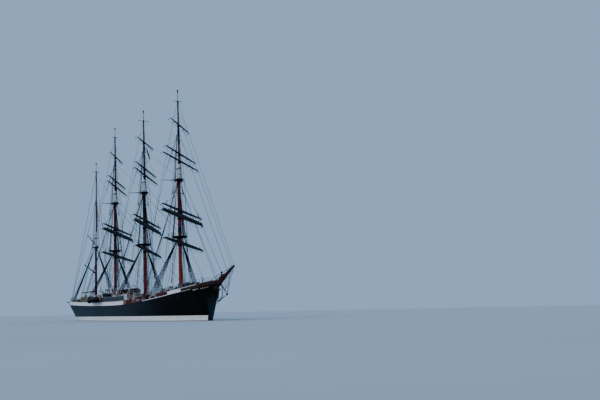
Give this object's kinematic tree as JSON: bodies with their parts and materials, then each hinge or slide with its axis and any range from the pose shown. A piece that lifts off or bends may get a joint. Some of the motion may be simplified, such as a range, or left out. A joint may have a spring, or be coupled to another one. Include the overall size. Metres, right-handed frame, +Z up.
{
  "type": "four-masted barque, 1:10 scale model",
  "caption": "Tall sailing ship at 1:10 with a black steel hull, raked masts, square yards that brace, gaffs and boom that swing, a steering rudder and a turning propeller.",
  "frame": {"origin": "centreline amidships at the waterline", "axes": "+X to the bow, +Y to port, +Z up"},
  "size_m": [11.685, 2.0566, 6.5321],
  "materials": {
    "hull_paint": "satin black plating",
    "white_paint": "satin white",
    "grey_paint": "satin grey",
    "deck_wood": "weathered planks",
    "boat_cover": "dark red canvas",
    "black_rubber": "matte",
    "black_iron": "semi-gloss black",
    "teak": "varnished",
    "bronze": "bare bronze",
    "mast_paint": "satin red-brown",
    "dark_mast_paint": "satin dark brown",
    "yard_paint": "satin black",
    "wire": "tarred wire"
  },
  "bodies": {
    "root": {"hull": "hull_paint", "well_bulwark_port": "hull_paint", "well_bulwark_starboard": "hull_paint", "poop": "white_paint", "forecastle": "white_paint", "poop_house": "white_paint", "chart_house": "white_paint", "aft_house": "white_paint", "fore_house": "white_paint", "main_hatch": "deck_wood", "rail_locker": "grey_paint", "boat_aft": "boat_cover", "boat_forward": "boat_cover", "work_boat": "black_rubber", "windlass": "black_iron", "anchor_port": "black_iron", "anchor_starboard": "black_iron", "helm_stand": "teak", "fore_lower_mast": "mast_paint", "fore_crosstrees": "black_iron", "fore_topgallant_mast": "dark_mast_paint", "main_lower_mast": "mast_paint", "main_crosstrees": "black_iron", "main_topgallant_mast": "dark_mast_paint", "mizzen_lower_mast": "mast_paint", "mizzen_crosstrees": "black_iron", "mizzen_topgallant_mast": "dark_mast_paint", "jigger_lower_mast": "mast_paint", "jigger_topmast": "dark_mast_paint", "bowsprit": "mast_paint", "fore_stay": "wire", "fore_topmast_stay": "wire", "main_stay": "wire", "mizzen_stay": "wire", "jigger_stay": "wire"},
    "rudder": {"rudder": "hull_paint"},
    "propeller": {"propeller": "bronze"},
    "helm": {"helm_wheel": "teak"},
    "upper_gaff": {"upper_gaff": "mast_paint"},
    "lower_gaff": {"lower_gaff": "mast_paint"},
    "boom": {"spanker_boom": "mast_paint"},
    "fore_course_yard": {"fore_course_yard": "yard_paint"},
    "fore_lower_topsail_yard": {"fore_lower_topsail_yard": "yard_paint"},
    "fore_upper_topsail_yard": {"fore_upper_topsail_yard": "yard_paint"},
    "fore_lower_topgallant_yard": {"fore_lower_topgallant_yard": "yard_paint"},
    "fore_upper_topgallant_yard": {"fore_upper_topgallant_yard": "yard_paint"},
    "fore_royal_yard": {"fore_royal_yard": "yard_paint"},
    "main_course_yard": {"main_course_yard": "yard_paint"},
    "main_lower_topsail_yard": {"main_lower_topsail_yard": "yard_paint"},
    "main_upper_topsail_yard": {"main_upper_topsail_yard": "yard_paint"},
    "main_lower_topgallant_yard": {"main_lower_topgallant_yard": "yard_paint"},
    "main_upper_topgallant_yard": {"main_upper_topgallant_yard": "yard_paint"},
    "main_royal_yard": {"main_royal_yard": "yard_paint"},
    "mizzen_course_yard": {"mizzen_course_yard": "yard_paint"},
    "mizzen_lower_topsail_yard": {"mizzen_lower_topsail_yard": "yard_paint"},
    "mizzen_upper_topsail_yard": {"mizzen_upper_topsail_yard": "yard_paint"},
    "mizzen_lower_topgallant_yard": {"mizzen_lower_topgallant_yard": "yard_paint"},
    "mizzen_upper_topgallant_yard": {"mizzen_upper_topgallant_yard": "yard_paint"},
    "mizzen_royal_yard": {"mizzen_royal_yard": "yard_paint"}
  },
  "joints": [
    {"name": "rudder_turn", "type": "hinge", "parent": "root", "child": "rudder", "pos_m": [-4.69, 0, -0.33], "axis": [0, 0, 1], "range_deg": [-35, 35]},
    {"name": "helm_turn", "type": "hinge", "parent": "root", "child": "helm", "pos_m": [-3, 0, 0.67344], "axis": [1, 0, 0], "range_deg": [-320, 320]},
    {"name": "propeller_spin", "type": "hinge", "parent": "root", "child": "propeller", "pos_m": [-4.4, 0, -0.37], "axis": [1, 0, 0], "continuous": true},
    {"name": "fore_course_brace", "type": "hinge", "parent": "root", "child": "fore_course_yard", "pos_m": [3.13682, 0, 1.86827], "axis": [-0.0576, 0, 0.9983], "range_deg": [-101.5, 6.2]},
    {"name": "fore_lower_topsail_brace", "type": "hinge", "parent": "root", "child": "fore_lower_topsail_yard", "pos_m": [3.09819, 0, 2.53827], "axis": [-0.0576, 0, 0.9983], "range_deg": [-101.5, 6.2]},
    {"name": "fore_upper_topsail_brace", "type": "hinge", "parent": "root", "child": "fore_upper_topsail_yard", "pos_m": [3.08868, 0, 2.70327], "axis": [-0.0576, 0, 0.9983], "range_deg": [-101.5, 6.2]},
    {"name": "fore_lower_topgallant_brace", "type": "hinge", "parent": "root", "child": "fore_lower_topgallant_yard", "pos_m": [3.08105, 0, 3.98207], "axis": [-0.0576, 0, 0.9983], "range_deg": [-101.5, 6.2]},
    {"name": "fore_upper_topgallant_brace", "type": "hinge", "parent": "root", "child": "fore_upper_topgallant_yard", "pos_m": [3.07038, 0, 4.16707], "axis": [-0.0576, 0, 0.9983], "range_deg": [-101.5, 6.2]},
    {"name": "fore_royal_brace", "type": "hinge", "parent": "root", "child": "fore_royal_yard", "pos_m": [3.02627, 0, 4.93207], "axis": [-0.0576, 0, 0.9983], "range_deg": [-101.5, 6.2]},
    {"name": "main_course_brace", "type": "hinge", "parent": "root", "child": "main_course_yard", "pos_m": [0.63682, 0, 1.86827], "axis": [-0.0576, 0, 0.9983], "range_deg": [-108.8, 1.1]},
    {"name": "main_lower_topsail_brace", "type": "hinge", "parent": "root", "child": "main_lower_topsail_yard", "pos_m": [0.59819, 0, 2.53827], "axis": [-0.0576, 0, 0.9983], "range_deg": [-108.8, 1.1]},
    {"name": "main_upper_topsail_brace", "type": "hinge", "parent": "root", "child": "main_upper_topsail_yard", "pos_m": [0.58868, 0, 2.70327], "axis": [-0.0576, 0, 0.9983], "range_deg": [-108.8, 1.1]},
    {"name": "main_lower_topgallant_brace", "type": "hinge", "parent": "root", "child": "main_lower_topgallant_yard", "pos_m": [0.58105, 0, 3.98207], "axis": [-0.0576, 0, 0.9983], "range_deg": [-108.8, 1.1]},
    {"name": "main_upper_topgallant_brace", "type": "hinge", "parent": "root", "child": "main_upper_topgallant_yard", "pos_m": [0.57038, 0, 4.16707], "axis": [-0.0576, 0, 0.9983], "range_deg": [-108.8, 1.1]},
    {"name": "main_royal_brace", "type": "hinge", "parent": "root", "child": "main_royal_yard", "pos_m": [0.52627, 0, 4.93207], "axis": [-0.0576, 0, 0.9983], "range_deg": [-108.8, 1.1]},
    {"name": "mizzen_course_brace", "type": "hinge", "parent": "root", "child": "mizzen_course_yard", "pos_m": [-1.86318, 0, 1.86827], "axis": [-0.0576, 0, 0.9983], "range_deg": [-108, 0.7]},
    {"name": "mizzen_lower_topsail_brace", "type": "hinge", "parent": "root", "child": "mizzen_lower_topsail_yard", "pos_m": [-1.90181, 0, 2.53827], "axis": [-0.0576, 0, 0.9983], "range_deg": [-108, 0.7]},
    {"name": "mizzen_upper_topsail_brace", "type": "hinge", "parent": "root", "child": "mizzen_upper_topsail_yard", "pos_m": [-1.91132, 0, 2.70327], "axis": [-0.0576, 0, 0.9983], "range_deg": [-108, 0.7]},
    {"name": "mizzen_lower_topgallant_brace", "type": "hinge", "parent": "root", "child": "mizzen_lower_topgallant_yard", "pos_m": [-1.91895, 0, 3.98207], "axis": [-0.0576, 0, 0.9983], "range_deg": [-108, 0.7]},
    {"name": "mizzen_upper_topgallant_brace", "type": "hinge", "parent": "root", "child": "mizzen_upper_topgallant_yard", "pos_m": [-1.92962, 0, 4.16707], "axis": [-0.0576, 0, 0.9983], "range_deg": [-108, 0.7]},
    {"name": "mizzen_royal_brace", "type": "hinge", "parent": "root", "child": "mizzen_royal_yard", "pos_m": [-1.97373, 0, 4.93207], "axis": [-0.0576, 0, 0.9983], "range_deg": [-108, 0.7]},
    {"name": "upper_gaff_swing", "type": "hinge", "parent": "root", "child": "upper_gaff", "pos_m": [-3.89034, 0, 2.42396], "axis": [-0.0576, 0, 0.9983], "range_deg": [-30, 30]},
    {"name": "lower_gaff_swing", "type": "hinge", "parent": "root", "child": "lower_gaff", "pos_m": [-3.8373, 0, 1.50396], "axis": [-0.0576, 0, 0.9983], "range_deg": [-30, 30]},
    {"name": "boom_swing", "type": "hinge", "parent": "root", "child": "boom", "pos_m": [-3.80385, 0, 0.92396], "axis": [-0.0576, 0, 0.9983], "range_deg": [-50, 50]}
  ],
  "couplings": [
    {"joint": "helm_turn", "follows": "rudder_turn", "ratio": 8},
    {"joint": "fore_lower_topsail_brace", "follows": "fore_course_brace", "ratio": 1},
    {"joint": "fore_upper_topsail_brace", "follows": "fore_course_brace", "ratio": 1},
    {"joint": "fore_lower_topgallant_brace", "follows": "fore_course_brace", "ratio": 1},
    {"joint": "fore_upper_topgallant_brace", "follows": "fore_course_brace", "ratio": 1},
    {"joint": "fore_royal_brace", "follows": "fore_course_brace", "ratio": 1},
    {"joint": "main_lower_topsail_brace", "follows": "main_course_brace", "ratio": 1},
    {"joint": "main_upper_topsail_brace", "follows": "main_course_brace", "ratio": 1},
    {"joint": "main_lower_topgallant_brace", "follows": "main_course_brace", "ratio": 1},
    {"joint": "main_upper_topgallant_brace", "follows": "main_course_brace", "ratio": 1},
    {"joint": "main_royal_brace", "follows": "main_course_brace", "ratio": 1},
    {"joint": "mizzen_lower_topsail_brace", "follows": "mizzen_course_brace", "ratio": 1},
    {"joint": "mizzen_upper_topsail_brace", "follows": "mizzen_course_brace", "ratio": 1},
    {"joint": "mizzen_lower_topgallant_brace", "follows": "mizzen_course_brace", "ratio": 1},
    {"joint": "mizzen_upper_topgallant_brace", "follows": "mizzen_course_brace", "ratio": 1},
    {"joint": "mizzen_royal_brace", "follows": "mizzen_course_brace", "ratio": 1}
  ]
}
